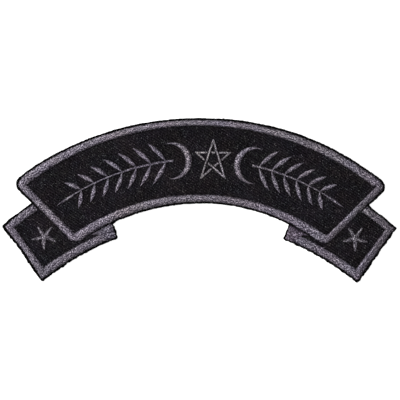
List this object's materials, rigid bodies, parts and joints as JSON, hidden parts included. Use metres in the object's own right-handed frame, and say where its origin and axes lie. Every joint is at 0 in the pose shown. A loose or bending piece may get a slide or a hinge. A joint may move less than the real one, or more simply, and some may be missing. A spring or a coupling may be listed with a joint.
{
  "type": "embroidered rocker patch",
  "caption": "Arched embroidered cloth patch shaped as a folded ribbon scroll, with raised grey satin borders, stars, crescents and leafy branches on black twill.",
  "frame": {"origin": "middle of the patch's box on the plane of its back, which lies on the surface", "axes": "+X to the right along the patch, +Y towards the top of the arch, +Z out of the embroidered face"},
  "size_m": [0.127, 0.0524, 0.002],
  "materials": {
    "black_twill": "matte black polyester twill with diagonal ribs, hot-cut edge",
    "grey_thread": "grey machine embroidery thread in dense satin stitches, soft sheen"
  },
  "bodies": {
    "root": {"twill_ground": "black_twill", "panel_border": "grey_thread", "tail_border_left": "grey_thread", "tail_border_right": "grey_thread", "fold_left": "grey_thread", "fold_right": "grey_thread", "star_left": "grey_thread", "star_right": "grey_thread", "pentagram": "grey_thread", "crescent_left": "grey_thread", "crescent_right": "grey_thread", "branch_left": "grey_thread", "branch_right": "grey_thread"}
  },
  "joints": []
}
